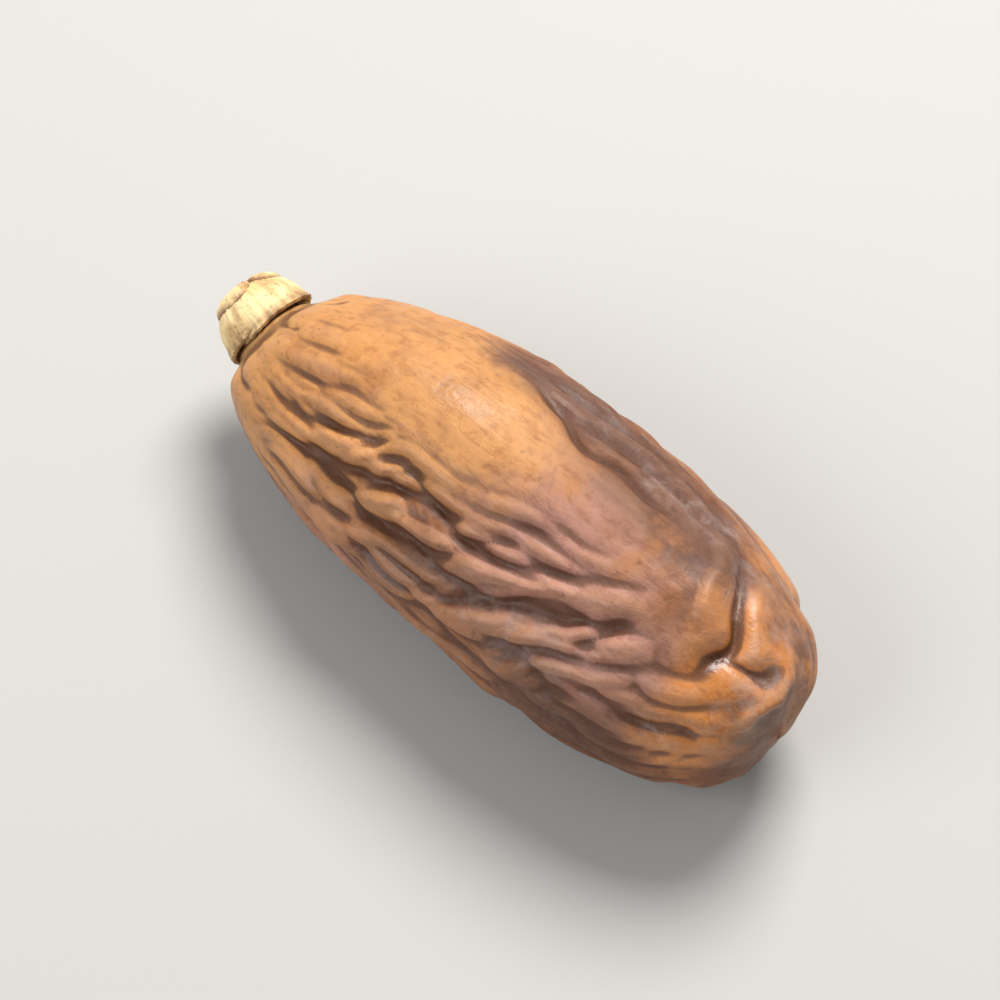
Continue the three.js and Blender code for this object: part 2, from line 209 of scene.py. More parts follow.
def curve_through(knots, places):
    """Points on a smooth curve through the knots, at places from 0 to 1."""
    knots = np.asarray(knots, float)
    padded = np.vstack([2 * knots[0] - knots[1], knots, 2 * knots[-1] - knots[-2]])
    where = np.clip(places, 0, 1) * (len(knots) - 1)
    piece = np.minimum(where.astype(int), len(knots) - 2)
    t = (where - piece)[..., None]
    a, b, c, d = (padded[piece + i] for i in range(4))
    bend = 2 * a - 5 * b + 4 * c - d
    swing = 3 * b - 3 * c + d - a
    return 0.5 * (2 * b + (c - a) * t + bend * t**2 + swing * t**3)


def nearest(path, points, reach):
    """How far each point is from a stroke, and the share of its length there."""
    knots = [plain_place(*place) for place in path]
    line = curve_through(knots, np.linspace(0, 1, STROKE_STEPS + 1))
    distance = np.full(len(points), np.inf)
    share = np.zeros(len(points))
    low, high = line.min(0) - reach, line.max(0) + reach
    near = np.flatnonzero(((points > low) & (points < high)).all(axis=1))
    close = points[near]
    for i, (start, end) in enumerate(zip(line[:-1], line[1:])):
        run = end - start
        t = np.clip((close - start) @ run / (run @ run), 0, 1)
        gap = np.linalg.norm(close - start - t[:, None] * run, axis=1)
        better = gap < distance[near]
        distance[near[better]] = gap[better]
        share[near[better]] = (i + t[better]) / STROKE_STEPS
    return distance, share


def fade(share):
    return smooth(np.minimum(share, 1 - share), 0, FADED_ENDS)


def between(low, high, share):
    return low + (high - low) * share


def gathers():
    """Long shallow folds, each shorter or longer and further forward or back than its neighbour."""
    for angles, count, depth in GATHERS:
        for i in range(count):
            half = between(SHORTEST_GATHER, LONGEST_GATHER, i * LENGTH_STEP % 1) / 2
            middle = between(GATHERS_FROM + half, GATHERS_TO - half, i * PLACE_STEP % 1)
            around = between(*angles, (i + 0.5) / count)
            places = [
                (middle - half, around + GATHER_SWAY * math.sin(3 * i)),
                (middle, around),
                (middle + half, around + GATHER_SWAY * math.cos(2 * i)),
            ]
            yield places, depth, GATHER_WIDTH


def puckers():
    """Short creases that radiate from the calyx over the shoulder."""
    middle = (PUCKER_FROM + PUCKER_TO) / 2
    for i in range(PUCKER_COUNT):
        around = PUCKER_START + 360 * i / PUCKER_COUNT + PUCKER_LEAN * math.sin(5 * i)
        places = [
            (PUCKER_FROM, around),
            (middle, around + PUCKER_LEAN * math.cos(3 * i)),
            (PUCKER_TO, around + PUCKER_LEAN),
        ]
        yield places, PUCKER_DEPTH, PUCKER_WIDTH


def crease_relief(points):
    """Valleys with a narrow bottom and slightly puffed lips."""
    rise = np.zeros(len(points))
    for path, depth, width in [*CREASES.values(), *gathers(), *puckers()]:
        distance, share = nearest(path, points, STROKE_REACH * width)
        away = np.minimum(distance / width, FARTHEST)
        lips = LIP_HEIGHT * away**2 * np.exp(-(away**2) / 2)
        valley = (1 - BOTTOM_SHARE) * np.exp(-(away**2)) + BOTTOM_SHARE * np.exp(-away / BOTTOM_WIDTH)
        rise += depth * fade(share) * (lips - valley)
    return rise


def ridge_relief(points):
    rise = np.zeros(len(points))
    for path, height, width in RIDGES.values():
        distance, share = nearest(path, points, STROKE_REACH * width)
        away = np.minimum(distance / width, FARTHEST)
        narrow = np.exp(-((away / TOP_WIDTH) ** 2))
        crest = (1 - TOP_SHARE) * np.exp(-(away**2)) + TOP_SHARE * narrow
        rise += height * fade(share) * crest
    return rise


def swell_relief(points):
    relief = np.zeros(len(points))
    for middle, half, rise in SWELLS.values():
        relief += rise * spread(points, middle, half)
    return relief


def lobe_relief(along, around):
    share = along / HALF_LENGTH
    rise = np.zeros(len(along))
    for count, height, start, twist in LOBES:
        rise += height * girth(along) * np.cos(np.radians(count * (around - start) + twist * share))
    return rise


def seat_relief(along, points):
    """The dip that the petals press into."""
    seat = plain_place(-HALF_LENGTH, 0)
    radius = np.hypot(points[:, 1] - seat[1], points[:, 2] - seat[2])
    dip = -RING_GROOVE_DEPTH * np.exp(-(((radius - RING_GROOVE_RADIUS) / RING_GROOVE_WIDTH) ** 2))
    return np.where(along < 0, dip, 0)


def settle(height):
    """The weight of the fruit presses its underside flat."""
    blend = np.maximum(SETTLED_BLEND - np.abs(height), 0) / SETTLED_BLEND
    return np.maximum(height, 0) + blend**2 * SETTLED_BLEND / 4


# Loose skin: where the skin is too long for the flesh it buckles into small wrinkles. It is worked
# out on a flat sheet as long as the outline and as wide as the full girth, which joins up around.
SHEET_SHAPE = (256, 256)
SHEET_MARGIN = 1.1  # the sheet is longer than the outline, so that the ends don't meet
MOST_SLACK = 0.14
COARSE_WAVE = 3.6
COARSE_SEED = 8
PLEAT_WAVE = 5.4
PLEAT_SEED = 4
PLEAT_BOTTOM = 0.03
PLEAT_GAIN = 1.6
LEVEL_REACH = 3.0  # over which the mean level of the pleats is taken away, in millimetres
MEAN_SHARE = 0.9  # of the root mean square, which is the mean level of folds like these
PLEATED = 0.7
COARSE_STEPS, FINE_STEPS = 220, 160
FINE_WAVE = 1.4
FINE_SEED = 5
FINE_SLACK = 0.085
# The push of the buckling skin, against the pressure at which a flat one starts to buckle.
SKIN_PUSH = 120  # times the share by which the skin is too long
PUSH_REACH = 0.35  # of a wavelength, over which the push evens out
FINEST_KEPT = 0.66  # of the largest squared wave number; finer waves are left out
LEAST_HOLD, HOLD_BY_SLACK = 2.5, 70  # hold each step back, so that the folds grow without jumps
STEP_SIZE = 0.12
START_HEIGHT = 0.012  # of a wavelength: the random relief that the folds grow from
START_BLUR = 8  # that relief is blurred over a wavelength divided by this
DRAWN_OUT = 8  # how much longer than wide the folds are at their start
FOLDS_RUN = math.radians(90)  # the way the skin is too long: 90 degrees is around the fruit
SLANT = math.radians(36)
SLANTED_PLACE = ((7, -40), (12, 9))
TIP_TURN = math.radians(45)
TIP_TURN_FROM, TIP_TURN_TO = 13, 19
# Drifts over the skin: how far a value strays, over what wavelength, and the seed of its draw.
DRIFT_BLUR = 5  # a drift is blurred over its wavelength divided by this
LOOSENESS_DRIFT = (0.3, 24, 21)
TURN_DRIFT = (0.18, 20, 12)
FINE_TURN_DRIFT = (0.35, 9, 34)
FINE_PATCHES = (1.0, 12, 33)
MEANDERS = [(0.35, 5, 51), (0.35, 5, 52)]  # of creases and ridges from their smooth lines
USUAL_LOOSENESS, MOST_LOOSENESS = 0.45, 1.1
FINE_PATCH_EDGE = (-0.6, 1.4)
LEAST_FINE = 0.12
FINE_ENDS_BY = (3, 9)  # millimetres from the tip over which the fine grooves fade in
COARSE_SHARE = 0.8
# Millimetres from the calyx and from the tip over which the small wrinkles fade in.
CALM_BY_CALYX, CALM_BY_TIP = (4, 12), (0.5, 4)
# Rings and steps over which the skin is blurred, to tell what lies lower than its surroundings.
HOLLOW_REACH, GROOVE_REACH = (4, 7), (2, 3)
# Where the finest grooves run close together: the middle, and the half sizes along and around.
GROOVED_PLACES = [((-7, -58), (14, 7)), ((-4, 70), (14, 6)), ((2, 130), (14, 7)), ((9, -60), (8, 5))]
# Smooth and loose places: the middle, the half sizes along and around, and the looseness.
LOOSE_PLACES = {
    "golden shoulder": ((-10, -8), (13, 8), -0.95),
    "matte middle": ((5, 0), (8, 5), -0.5),
    "near flank": ((-2, -62), (17, 7), 0.55),
    "slanting folds": ((8, -38), (9, 6), 0.15),
    "bloomed edge": ((6, 38), (12, 4), 0.25),
    "tip": ((19, 0), (6, 10), 0.35),
    "back flank": ((2, 95), (16, 8), 0.5),
    "near low": ((4, -115), (14, 6), 0.3),
}


def spread(points, middle, half):
    """1 at the middle of an oval place on the skin, falling smoothly to 0 at its edge."""
    offset = points - plain_place(*middle)
    across = np.hypot(offset[..., 1], offset[..., 2])
    reach = (offset[..., 0] / half[0]) ** 2 + (across / half[1]) ** 2
    return np.clip(1 - reach, 0, 1) ** 2


def waves(shape, size):
    """The wave numbers of a sheet along and around, in radians per millimetre."""
    kx = 2 * np.pi * np.fft.fftfreq(shape[0], size[0] / shape[0])[:, None]
    ky = 2 * np.pi * np.fft.rfftfreq(shape[1], size[1] / shape[1])[None, :]
    return kx, ky


def drift(size, amount, wave, seed):
    """A random field of about the given wavelength, with a spread of the given amount."""
    kx, ky = waves(SHEET_SHAPE, size)
    draw = np.random.default_rng(seed)
    noise = np.fft.rfft2(draw.normal(size=SHEET_SHAPE))
    noise *= np.exp(-0.5 * (kx**2 + ky**2) * (wave / DRIFT_BLUR) ** 2)
    noise[0, 0] = 0
    field = np.fft.irfft2(noise, s=SHEET_SHAPE)
    return amount * field / field.std()


def buckle(size, wave, slack, turn, steps, seed):
    """Relief of a skin that is too long for the soft bed it lies on, in millimetres.

    slack is how much too long it is at each place, as a share, and turn the direction in which it
    is. The skin buckles at about the given wavelength, and its folds grow until they take up the
    slack. They start out drawn out along the fruit.
    """
    kx, ky = waves(SHEET_SHAPE, size)
    k2 = kx**2 + ky**2
    best = 2 * np.pi / wave
    bend = best**-4
    press = 2 / best**2
    grow = SKIN_PUSH * press
    reach = np.exp(-0.5 * k2 * (PUSH_REACH * wave) ** 2)
    keep = k2 < FINEST_KEPT * k2.max()
    steady = max(LEAST_HOLD, HOLD_BY_SLACK * slack.max()) * press * k2
    slack_xx = slack * np.cos(turn) ** 2
    slack_yy = slack * np.sin(turn) ** 2
    slack_xy = slack * np.cos(turn) * np.sin(turn)
    draw = np.random.default_rng(seed)
    relief = np.fft.rfft2(draw.normal(size=SHEET_SHAPE) * START_HEIGHT * wave)
    relief *= DRAWN_OUT * np.exp(-0.5 * ((DRAWN_OUT * kx) ** 2 + ky**2) * (wave / START_BLUR) ** 2)

    def real(spectrum):
        return np.fft.irfft2(spectrum, s=SHEET_SHAPE)

    for _ in range(steps):
        hx, hy = real(1j * kx * relief), real(1j * ky * relief)
        pull_xx = grow * (real(np.fft.rfft2(0.5 * hx * hx) * reach) - slack_xx)
        pull_yy = grow * (real(np.fft.rfft2(0.5 * hy * hy) * reach) - slack_yy)
        pull_xy = grow * (real(np.fft.rfft2(0.5 * hx * hy) * reach) - slack_xy)
        push = 1j * kx * np.fft.rfft2(pull_xx * hx + pull_xy * hy)
        push += 1j * ky * np.fft.rfft2(pull_xy * hx + pull_yy * hy)
        relief = (relief + STEP_SIZE * (push + steady * relief)) / (
            1 + STEP_SIZE * (bend * k2**2 + 1 + steady)
        )
        relief *= keep
        relief[0, 0] = 0
    return real(relief)


def pleats(size, loose, turn):
    """Puffed folds with narrow bottoms between them, where a wider wave folds back on itself."""
    wide = buckle(size, PLEAT_WAVE, MOST_SLACK * loose, turn, COARSE_STEPS, PLEAT_SEED)
    folded = np.sqrt(wide**2 + PLEAT_BOTTOM**2)
    kx, ky = waves(SHEET_SHAPE, size)
    blur = np.exp(-0.5 * (kx**2 + ky**2) * LEVEL_REACH**2)
    mean_square = np.fft.irfft2(np.fft.rfft2(wide**2) * blur, s=SHEET_SHAPE)
    level = MEAN_SHARE * np.sqrt(np.maximum(mean_square, 0))
    return PLEAT_GAIN * (folded - level)


def read_sheet(sheet, rows, columns):
    """A sheet that joins up at its edges, read between its points."""
    row, column = np.floor(rows).astype(int), np.floor(columns).astype(int)
    down, over = rows - row, columns - column
    row, next_row = row % SHEET_SHAPE[0], (row + 1) % SHEET_SHAPE[0]
    column, next_column = column % SHEET_SHAPE[1], (column + 1) % SHEET_SHAPE[1]
    first = sheet[row, column] * (1 - over) + sheet[row, next_column] * over
    second = sheet[next_row, column] * (1 - over) + sheet[next_row, next_column] * over
    return first * (1 - down) + second * down


def small_wrinkles(travelled, along_rows):
    """The coarse and the fine wrinkles on the sheet, and the sheet's size."""
    size = (travelled[-1] * SHEET_MARGIN, math.pi * FRUIT_WIDTH)
    run = size[0] * np.arange(SHEET_SHAPE[0]) / SHEET_SHAPE[0]
    along = np.interp(run, travelled, along_rows)
    around = 360 * np.arange(SHEET_SHAPE[1]) / SHEET_SHAPE[1]
    along, around = np.meshgrid(along, around, indexing="ij")
    points = plain_place(along, around)
    loose = USUAL_LOOSENESS + drift(size, *LOOSENESS_DRIFT)
    for middle, half, amount in LOOSE_PLACES.values():
        loose += amount * spread(points, middle, half)
    loose = smooth(loose, 0.0, MOST_LOOSENESS)
    turn = FOLDS_RUN + drift(size, *TURN_DRIFT)
    turn += SLANT * smooth(spread(points, *SLANTED_PLACE), 0, 0.5)
    turn += TIP_TURN * smooth(along, TIP_TURN_FROM, TIP_TURN_TO)
    coarse = buckle(size, COARSE_WAVE, MOST_SLACK * loose, turn, COARSE_STEPS, COARSE_SEED)
    coarse = (1 - PLEATED) * coarse + PLEATED * pleats(size, loose, turn)
    patch = loose * smooth(drift(size, *FINE_PATCHES), *FINE_PATCH_EDGE) + LEAST_FINE
    for middle, half in GROOVED_PLACES:
        patch += spread(points, middle, half)
    patch *= smooth(travelled[-1] - run, *FINE_ENDS_BY)[:, None]
    fine_turn = turn + drift(size, *FINE_TURN_DRIFT)
    slack = FINE_SLACK * np.clip(patch, 0, 1)
    fine = buckle(size, FINE_WAVE, slack, fine_turn, FINE_STEPS, FINE_SEED)
    return coarse, fine, size


def softened(grid, rows, columns):
    """A grid of ring by step, blurred over so many rows and columns; the steps join up."""
    for axis, reach in ((0, rows), (1, columns)):
        steps = np.arange(-3 * reach, 3 * reach + 1)
        weights = np.exp(-0.5 * (steps / reach) ** 2)
        weights /= weights.sum()
        margin = [(0, 0), (0, 0)]
        margin[axis] = (3 * reach, 3 * reach)
        padded = np.pad(grid, margin, mode="wrap" if axis else "edge")
        size = grid.shape[axis]
        grid = sum(
            weight * np.take(padded, np.arange(i, i + size), axis=axis)
            for i, weight in enumerate(weights)
        )
    return grid


def mesh_object(name, points, faces, values=None):
    """A smooth mesh from points in millimetres, with named values at its points."""
    mesh = bpy.data.meshes.new(name)
    mesh.from_pydata((np.asarray(points) * MM).tolist(), [], faces)
    mesh.shade_smooth()
    for label, numbers in (values or {}).items():
        layer = mesh.attributes.new(label, "FLOAT", "POINT")
        layer.data.foreach_set("value", np.asarray(numbers, np.float32))
    mesh.update()
    made = bpy.data.objects.new(name, mesh)
    bpy.context.scene.collection.objects.link(made)
    return made


# Where the skin changes colour: the middle, and the half sizes along and around.
COLOUR_PLACES = {
    "golden": [((-13, -12), (17, 13)), ((-17, -66), (9, 7)), ((-16, 60), (10, 9)), ((-6, 4), (13, 8))],
    "mauve": [((6, -26), (11, 8)), ((13.5, -48), (6, 7)), ((2, 100), (13, 8)), ((-8, -110), (9, 6))],
    "dusky": [((8, 34), (11, 6)), ((12, 22), (5, 4)), ((-1, 44), (10, 5)), ((6, 150), (12, 8)),
              ((12, -95), (9, 6))],
    # bloomed is the pale waxy bloom; its patch at (16.5, 27) is a painted highlight
    "bloomed": [((7, 40), (12, 4)), ((16.5, 27), (3.5, 4)), ((20, -50), (4.5, 5)), ((6, -62), (8, 3)),
                ((20.5, 20), (3, 7)), ((-4, 120), (12, 5)), ((2, -128), (9, 4))],
    "amber": [((18.5, -6), (4.5, 7)), ((19, -60), (5, 6)), ((16, 90), (8, 8))],
    "matte": [((6, 0), (10, 6)), ((8, 34), (11, 6))],
}
PLACE_FULLNESS = 0.75  # below 1, a place keeps more of its colour towards its edge
CALYX_RING_REACH, CALYX_RING_BLEND = 7, 4  # millimetres along the skin, from the calyx
SHADE_WHEN_TURNED_DOWN = (0.2, 0.9)  # how far the skin faces down, from where its painted shade begins to where it is darkest
SHADED_FROM_END = (0.5, 3)  # millimetres from an end over which the shade of hollows fades in
SIDE_SEARCH = (-18, 18, 90)  # first and last station, and how many, to find the fruit's sides at


def row_shift():
    """How far the fruit's own frame lies from the row's, read from where its node lies."""
    low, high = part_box("date_fruit")
    tip = HALF_LENGTH + SWELLS["blossom point"][2]
    along, around = np.meshgrid(np.linspace(*SIDE_SEARCH), np.arange(0, 360, 2), indexing="ij")
    along, around = along.ravel(), around.ravel()
    plain = plain_place(along, around)
    broad = crease_relief(plain) + ridge_relief(plain) + swell_relief(plain) + lobe_relief(along, around)
    side = (plain + outward(along, around) * broad[:, None])[:, 1]
    sideways = (low.y + high.y) / 2 / MM - (side.max() + side.min()) / 2
    return np.array([high.x / MM - tip, sideways, 0.0])


ROW_SHIFT = row_shift()


def fruit():
    along_rows, travelled = stations(ALONG_STEPS)
    around_columns = 360 * np.arange(AROUND_STEPS) / AROUND_STEPS
    along, around = np.meshgrid(along_rows[1:-1], around_columns, indexing="ij")
    run = np.broadcast_to(travelled[1:-1, None], along.shape)
    along = np.concatenate([[-HALF_LENGTH], along.ravel(), [HALF_LENGTH]])
    around = np.concatenate([[0], around.ravel(), [0]])
    run = np.concatenate([[0], run.ravel(), [travelled[-1]]])

    coarse, fine, size = small_wrinkles(travelled, along_rows)
    rows, columns = run / size[0] * SHEET_SHAPE[0], around / 360 * SHEET_SHAPE[1]
    stray = [read_sheet(drift(size, *meander), rows, columns) for meander in MEANDERS]
    strayed_along = np.clip(along + stray[0] * girth(along), -HALF_LENGTH, HALF_LENGTH)
    strayed = plain_place(strayed_along, around + np.degrees(stray[1] / HALF_WIDTH))

    plain = plain_place(along, around)
    folds = crease_relief(strayed) + ridge_relief(strayed)
    broad = folds + swell_relief(plain) + lobe_relief(along, around) + seat_relief(along, plain)
    narrows = girth(along)
    free = smooth(run, *CALM_BY_CALYX) * smooth(travelled[-1] - run, *CALM_BY_TIP)
    coarse = read_sheet(coarse, rows, columns) * free * narrows
    fine = read_sheet(fine, rows, columns) * free * narrows
    small = COARSE_SHARE * coarse + fine

    rise = (broad + small)[1:-1].reshape(ALONG_STEPS - 1, AROUND_STEPS)
    # How far the skin lies below its surroundings, for the painted shade in hollows and grooves and the
    # painted light on crests
    hollow, groove = np.zeros(len(along)), np.zeros(len(along))
    hollow[1:-1] = (softened(rise, *HOLLOW_REACH) - rise).ravel()
    groove[1:-1] = (softened(rise, *GROOVE_REACH) - rise).ravel()
    away_from_ends = smooth(run, *SHADED_FROM_END) * smooth(travelled[-1] - run, *SHADED_FROM_END)
    hollow, groove = hollow * away_from_ends, groove * away_from_ends

    way = outward(along, around)
    points = plain + way * (broad + small)[:, None]
    points[:, 2] = settle(points[:, 2])
    points += ROW_SHIFT

    # under is where the skin faces down, for the painted shade there
    values = {"hollow": hollow, "groove": groove, "under": smooth(-way[:, 2], *SHADE_WHEN_TURNED_DOWN)}
    values["calyx ring"] = smooth(CALYX_RING_REACH - run, 0, CALYX_RING_BLEND)
    for name, places in COLOUR_PLACES.items():
        share = sum(spread(plain, *place) for place in places)
        values[name] = np.clip(share, 0, 1) ** PLACE_FULLNESS

    ring = 1 + np.arange(ALONG_STEPS - 1)[:, None] * AROUND_STEPS + np.arange(AROUND_STEPS)[None, :]
    beside = np.roll(ring, -1, axis=1)
    patches = np.stack([ring[:-1], beside[:-1], beside[1:], ring[1:]], axis=-1).reshape(-1, 4)
    last = len(points) - 1
    faces = patches[:, ::-1].tolist()
    faces += [(0, int(b), int(a)) for a, b in zip(ring[0], beside[0])]
    faces += [(last, int(a), int(b)) for a, b in zip(ring[-1], beside[-1])]
    made = mesh_object("wrinkled_date", points, faces, values)
    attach(made, "root")
    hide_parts("date_fruit")
    return made


# Node helpers.
def put(tree, kind, feeds=None, **settings):
    """A new node with its settings; a feed is a number, a colour or another node's output."""
    made = tree.nodes.new("ShaderNode" + kind)
    for name, value in settings.items():
        setattr(made, name, value)
    for socket, feed in (feeds or {}).items():
        if isinstance(feed, bpy.types.NodeSocket):
            tree.links.new(feed, made.inputs[socket])
        else:
            made.inputs[socket].default_value = feed
    return made


def blend(tree, mask, under, over, way="MIX"):
    """One colour laid over another where the mask is 1."""
    made = put(tree, "Mix", {0: mask, 6: under, 7: over}, data_type="RGBA", blend_type=way)
    return made.outputs[2]


def ramp(tree, value, low, high, bottom=0.0, top=1.0):
    """A value eased from bottom to top between low and high."""
    feeds = {"Value": value, "From Min": low, "From Max": high, "To Min": bottom, "To Max": top}
    return put(tree, "MapRange", feeds, interpolation_type="SMOOTHSTEP").outputs["Result"]


def sum_up(tree, way, first, second):
    return put(tree, "Math", {0: first, 1: second}, operation=way).outputs[0]


def own_value(tree, name):
    return put(tree, "Attribute", attribute_name=name).outputs["Fac"]


def noise(tree, scale, detail=2.0, rough=0.5, distort=0.0, where=None):
    where = where or put(tree, "TexCoord").outputs["Object"]
    feeds = {"Vector": where, "Scale": scale, "Detail": detail, "Roughness": rough}
    feeds["Distortion"] = distort
    return put(tree, "TexNoise", feeds).outputs["Fac"]


def group(name, inputs, outputs):
    """A node group with named inputs and outputs, and its two end nodes."""
    made = bpy.data.node_groups.new(name, "ShaderNodeTree")
    for label, (kind, value) in inputs.items():
        socket = made.interface.new_socket(label, in_out="INPUT", socket_type="NodeSocket" + kind)
        socket.default_value = value
    for label, kind in outputs.items():
        made.interface.new_socket(label, in_out="OUTPUT", socket_type="NodeSocket" + kind)
    return made, made.nodes.new("NodeGroupInput"), made.nodes.new("NodeGroupOutput")


def speckle_group():
    """Tiny specks and pores: a mask of dark specks, a mask of drifting patches and a fine height."""
    tree, start, end = group(
        "fine speckle",
        {"Size": ("Float", 900.0), "Amount": ("Float", 0.5)},
        {"Specks": "Float", "Patches": "Float", "Height": "Float"},
    )
    size = start.outputs["Size"]
    fine = noise(tree, size, 3, 0.6)
    threshold = sum_up(tree, "SUBTRACT", 0.72, sum_up(tree, "MULTIPLY", start.outputs["Amount"], 0.2))
    specks = ramp(tree, sum_up(tree, "SUBTRACT", fine, threshold), 0.0, 0.08)
    patches = noise(tree, sum_up(tree, "DIVIDE", size, 7.0), 4, 0.6, 0.4)
    tree.links.new(specks, end.inputs["Specks"])
    tree.links.new(ramp(tree, patches, 0.35, 0.65), end.inputs["Patches"])
    tree.links.new(fine, end.inputs["Height"])
    return tree


def place_group(tree, made, feeds):
    node = put(tree, "Group", node_tree=made)
    for label, feed in feeds.items():
        if isinstance(feed, bpy.types.NodeSocket):
            tree.links.new(feed, node.inputs[label])
        else:
            node.inputs[label].default_value = feed
    return node


def fibre_group():
    """Woody fibres that run along the object's own fibre value: a tone and a height."""
    tree, start, end = group(
        "woody fibres",
        {"Across": ("Float", 0.0), "Down": ("Float", 0.0), "Count": ("Float", 40.0)},
        {"Tone": "Float", "Height": "Float"},
    )
    across = sum_up(tree, "MULTIPLY", start.outputs["Across"], start.outputs["Count"])
    where = put(tree, "CombineXYZ", {"X": across, "Y": start.outputs["Down"]}).outputs[0]
    strands = noise(tree, 1.0, 3, 0.65, 0.3, where)
    tree.links.new(ramp(tree, strands, 0.3, 0.7), end.inputs["Tone"])
    tree.links.new(strands, end.inputs["Height"])
    return tree


speckle = speckle_group()
fibres = fibre_group()

# Skin colours, as linear light.
FLESH_DARK = (0.14, 0.05, 0.02, 1)
FLESH_LIGHT = (0.3, 0.12, 0.048, 1)
GOLD = (0.5, 0.235, 0.078, 1)
MAUVE = (0.37, 0.185, 0.14, 1)
DUSKY = (0.11, 0.047, 0.029, 1)
AMBER = (0.5, 0.19, 0.045, 1)
CALYX_RING = (0.66, 0.4, 0.16, 1)
# painted shade in the dips of the fine crinkles
FINE_CREASE_SHADE = (0.62, 0.48, 0.42, 1)
STREAK = (0.21, 0.09, 0.05, 1)
# painted shade of hollows and grooves, with some deeper colour of folded skin
VALLEY_SHADE = (0.1, 0.037, 0.018, 1)
# painted light on the raised crests, with some paler worn skin
CREST_LIGHT_AND_WEAR = (0.44, 0.23, 0.12, 1)
# the waxy bloom, and in one patch near the tip a painted highlight
BLOOM_AND_HIGHLIGHT = (0.36, 0.285, 0.265, 1)
# painted shade of the underside
UNDERSIDE_SHADE = (0.07, 0.022, 0.01, 1)
SPECK = (0.06, 0.022, 0.012, 1)


# Colours laid over the flesh, in this order: the place, where its mask begins and is full, the colour.
LAID_COLOURS = [
    ("mauve", 0.0, 1.1, MAUVE),
    ("golden", 0.05, 1.0, GOLD),
    ("dusky", 0.0, 0.9, DUSKY),
    ("amber", 0.1, 0.9, AMBER),
]
DRAWN_LENGTHWISE = (0.3, 1, 1)  # fine marks are longer along the fruit than around it


def ragged_edge(tree, patches):
    """A value that is added to a place's mask, so that its edge breaks up in patches."""
    broad_break = ramp(tree, noise(tree, 160, 4, 0.6, 0.8), 0.3, 0.7, -0.3, 0.3)
    fine_break = ramp(tree, patches, 0, 1, -0.14, 0.14)
    return sum_up(tree, "ADD", broad_break, fine_break)


def ragged_place(tree, name, ragged, low, high):
    return ramp(tree, sum_up(tree, "ADD", own_value(tree, name), ragged), low, high)


def flesh_colour(tree, ragged):
    """The mottled flesh with the colour places and the pale ring round the calyx."""
    mottle = ramp(tree, noise(tree, 230, 5, 0.6, 0.6), 0.34, 0.66)
    colour = blend(tree, mottle, FLESH_DARK, FLESH_LIGHT)
    for name, low, high, over in LAID_COLOURS:
        colour = blend(tree, ragged_place(tree, name, ragged, low, high), colour, over)
    ring = sum_up(tree, "MULTIPLY", own_value(tree, "calyx ring"), 0.5)
    return blend(tree, ring, colour, CALYX_RING)


def creased_colour(tree, colour, crinkle, crepe, lengthwise):
    """Painted shade in the fine creases and valleys, streaks, and painted light on the crests."""
    # Painted shade where the fine crinkles of the bump dip
    fine_crease_shade = ramp(tree, sum_up(tree, "ADD", crinkle, crepe), 1.02, 0.78, 0.0, 0.5)
    colour = blend(tree, fine_crease_shade, colour, FINE_CREASE_SHADE, "MULTIPLY")
    streaks = ramp(tree, noise(tree, 420, 4, 0.6, 0.4, lengthwise), 0.52, 0.7, 0.0, 0.35)
    colour = blend(tree, streaks, colour, STREAK)
    hollow = own_value(tree, "hollow")
    # Painted shade in the hollows and grooves, with some deeper colour of folded skin
    valley = ramp(tree, hollow, 0.01, 0.2)
    colour = blend(tree, sum_up(tree, "MULTIPLY", valley, 0.75), colour, VALLEY_SHADE)
    groove_shade = ramp(tree, own_value(tree, "groove"), 0.004, 0.05, 0.0, 0.6)
    colour = blend(tree, groove_shade, colour, VALLEY_SHADE)
    # Painted light on the raised crests, with some paler worn skin; less of it in the dusky places
    crest = ramp(tree, hollow, -0.02, -0.12)
    crest_share = ramp(tree, own_value(tree, "dusky"), 0, 0.8, 0.35, 0.08)
    return blend(tree, sum_up(tree, "MULTIPLY", crest, crest_share), colour, CREST_LIGHT_AND_WEAR)


def skin_roughness(tree, patches, bloomed):
    rough = ramp(tree, patches, 0, 1, 0.38, 0.54)
    rough = sum_up(tree, "ADD", rough, sum_up(tree, "MULTIPLY", bloomed, 0.25))
    rough = sum_up(tree, "ADD", rough, sum_up(tree, "MULTIPLY", own_value(tree, "matte"), 0.34))
    return sum_up(tree, "SUBTRACT", rough, sum_up(tree, "MULTIPLY", own_value(tree, "amber"), 0.1))


